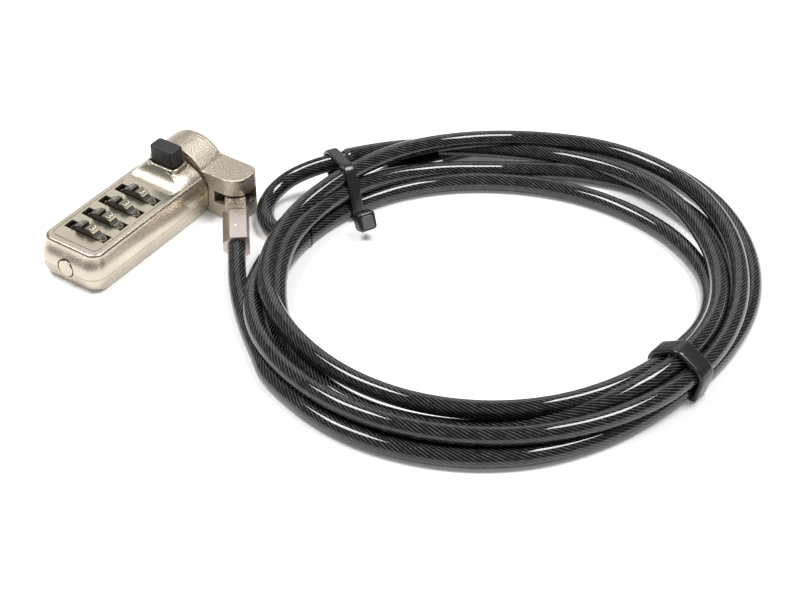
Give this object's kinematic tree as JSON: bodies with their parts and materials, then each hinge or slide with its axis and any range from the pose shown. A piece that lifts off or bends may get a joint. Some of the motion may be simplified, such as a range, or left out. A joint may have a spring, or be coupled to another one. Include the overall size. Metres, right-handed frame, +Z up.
{
  "type": "laptop cable lock",
  "caption": "Combination laptop cable lock: a number-dial head with a push button and T-bar nose on a swivel neck, hinged to the ferrule of a coiled steel cable with an end loop.",
  "frame": {"origin": "centre of the case's flat underside", "axes": "+X along the head towards the T-bar nose, +Z up out of the dial face, ferrule tongue on the -Y side"},
  "size_m": [0.131, 0.1565, 0.0186],
  "materials": {
    "satin_nickel": "satin nickel plate on cast zinc",
    "cast_nickel": "nickel plate over a fine cast grain",
    "ferrule_nickel": "satin nickel",
    "dial_nickel": "satin nickel, digits filled dark",
    "steel": "turned",
    "spring_steel": "drawn",
    "brass": "turned",
    "black_plastic": "fine matt",
    "cable_jacket": "smoky clear vinyl over stranded steel",
    "black_nylon": "glossy nylon"
  },
  "bodies": {
    "cable": {"cable_ferrule": "ferrule_nickel", "cable_lead": "cable_jacket", "cable_coil": "cable_jacket", "cable_eye": "cable_jacket", "eye_sleeve": "black_plastic", "zip_tie_strap": "black_nylon", "zip_tie_head": "black_nylon", "band_tie": "black_nylon"},
    "neck": {"swivel_neck": "cast_nickel", "hinge_pin": "steel"},
    "case": {"upper_case": "satin_nickel", "lower_case": "satin_nickel", "case_rivets": "steel", "lock_nose": "steel", "detent_leaf": "spring_steel", "button_spring": "spring_steel", "reset_spring": "spring_steel"},
    "button": {"push_button": "black_plastic", "button_slider": "steel"},
    "tbar": {"lock_spindle": "steel", "spindle_pinion": "steel", "t_bar": "steel"},
    "reset": {"reset_button": "satin_nickel"},
    "dial_1": {"number_dial_1": "dial_nickel", "dial_sleeve_1": "brass"},
    "dial_2": {"number_dial_2": "dial_nickel", "dial_sleeve_2": "brass"},
    "dial_3": {"number_dial_3": "dial_nickel", "dial_sleeve_3": "brass"},
    "dial_4": {"number_dial_4": "dial_nickel", "dial_sleeve_4": "brass"}
  },
  "joints": [
    {"name": "ferrule_hinge", "type": "hinge", "parent": "cable", "child": "neck", "pos_m": [0.0255, -0.0145, 0.0061], "axis": [0, 0, 1], "range_deg": [-40, 28]},
    {"name": "neck_swivel", "type": "hinge", "parent": "neck", "child": "case", "pos_m": [0.0255, 0, 0.0068], "axis": [1, 0, 0], "continuous": true},
    {"name": "button_press", "type": "slide", "parent": "case", "child": "button", "axis": [0, 0, -1], "range_m": [0, 0.0024], "stiffness_N_per_m": 300, "springref_m": -0.0015, "deforming": ["button_spring"]},
    {"name": "tbar_turn", "type": "hinge", "parent": "case", "child": "tbar", "pos_m": [0.0255, 0, 0.0068], "axis": [1, 0, 0], "range_deg": [0, 90]},
    {"name": "reset_push", "type": "slide", "parent": "case", "child": "reset", "axis": [1, 0, 0], "range_m": [0, 0.001], "stiffness_N_per_m": 400, "springref_m": -0.0008, "deforming": ["reset_spring"]},
    {"name": "dial_1_turn", "type": "hinge", "parent": "case", "child": "dial_1", "pos_m": [-0.012, 0, 0.0068], "axis": [1, 0, 0], "continuous": true},
    {"name": "dial_2_turn", "type": "hinge", "parent": "case", "child": "dial_2", "pos_m": [-0.006, 0, 0.0068], "axis": [1, 0, 0], "continuous": true},
    {"name": "dial_3_turn", "type": "hinge", "parent": "case", "child": "dial_3", "pos_m": [0, 0, 0.0068], "axis": [1, 0, 0], "continuous": true},
    {"name": "dial_4_turn", "type": "hinge", "parent": "case", "child": "dial_4", "pos_m": [0.006, 0, 0.0068], "axis": [1, 0, 0], "continuous": true}
  ],
  "couplings": [
    {"joint": "tbar_turn", "follows": "button_press", "rad_per_m": 654}
  ]
}
